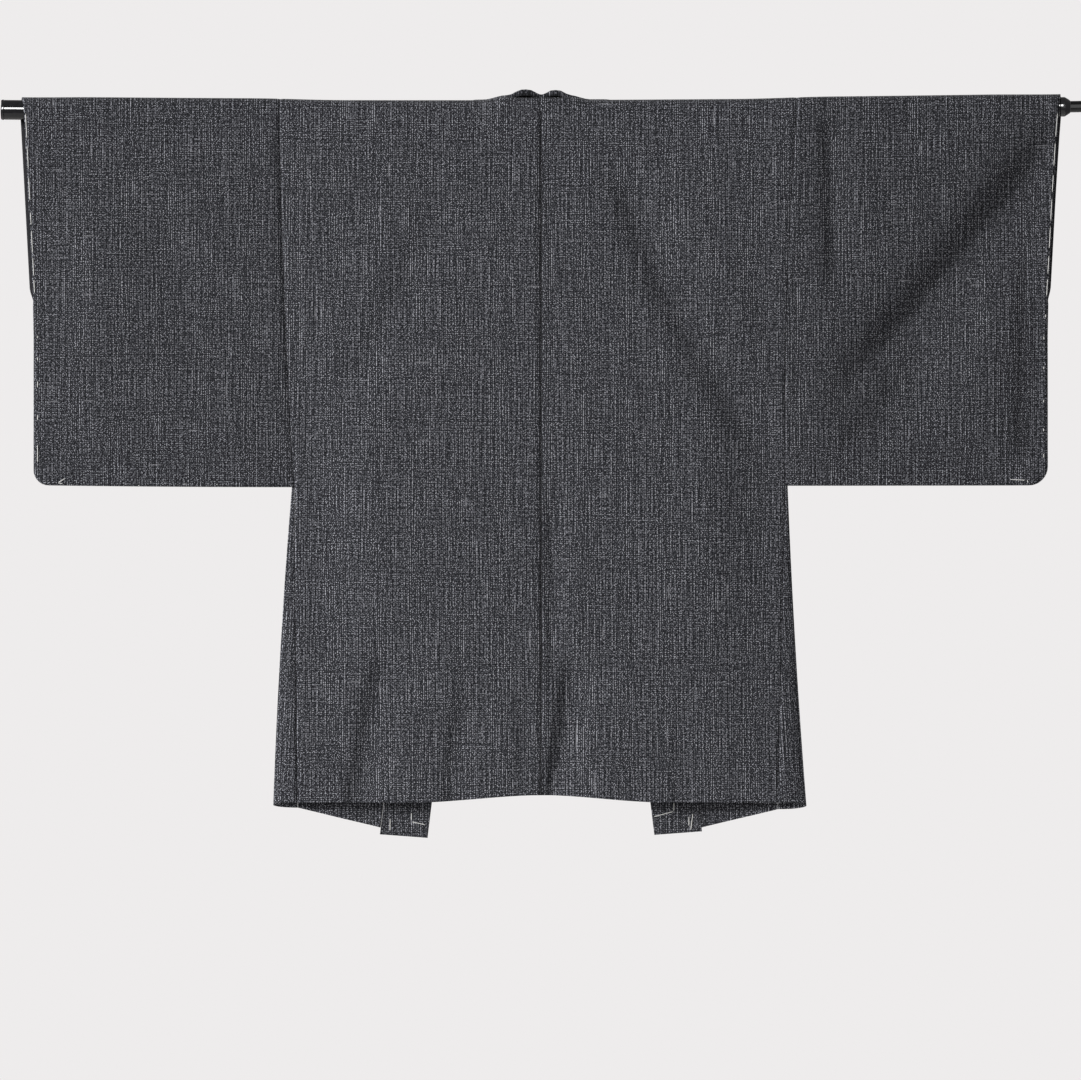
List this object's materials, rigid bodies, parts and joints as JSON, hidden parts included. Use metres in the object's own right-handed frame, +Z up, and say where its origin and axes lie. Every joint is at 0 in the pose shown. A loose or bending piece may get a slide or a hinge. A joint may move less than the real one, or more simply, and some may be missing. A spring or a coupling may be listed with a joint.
{
  "type": "haori jacket on a telescopic rod",
  "caption": "Open-fronted haori jacket with deep sleeves and a long collar band, hung flat by its sleeves on a telescopic rod.",
  "frame": {"origin": "on the rod's axis at the jacket's centre back seam, where the rod holds the jacket", "axes": "+Z up, X along the rod with +X towards the rod's thin end, -Y towards the jacket's back and +Y towards its fronts"},
  "size_m": [1.3978, 0.0457, 0.9511],
  "materials": {
    "grey_cloth": "matt plain weave in dark grey yarns of uneven shade",
    "collar_cloth": "the same weave, doubled",
    "rod_paint": "black gloss",
    "rod_plastic": "black, moulded",
    "basting_thread": "white cotton thread, matt",
    "sleeve_lining": "near-black plain lining cloth, matt"
  },
  "bodies": {
    "root": {"body_left": "grey_cloth", "body_right": "grey_cloth", "sleeve_left": "grey_cloth", "sleeve_right": "grey_cloth", "gusset_left": "grey_cloth", "gusset_right": "grey_cloth", "collar": "collar_cloth", "rod_tube": "rod_paint", "rod_cap_left": "rod_plastic", "rod_collar_right": "rod_plastic", "rod_inner": "rod_paint"}
  },
  "joints": []
}
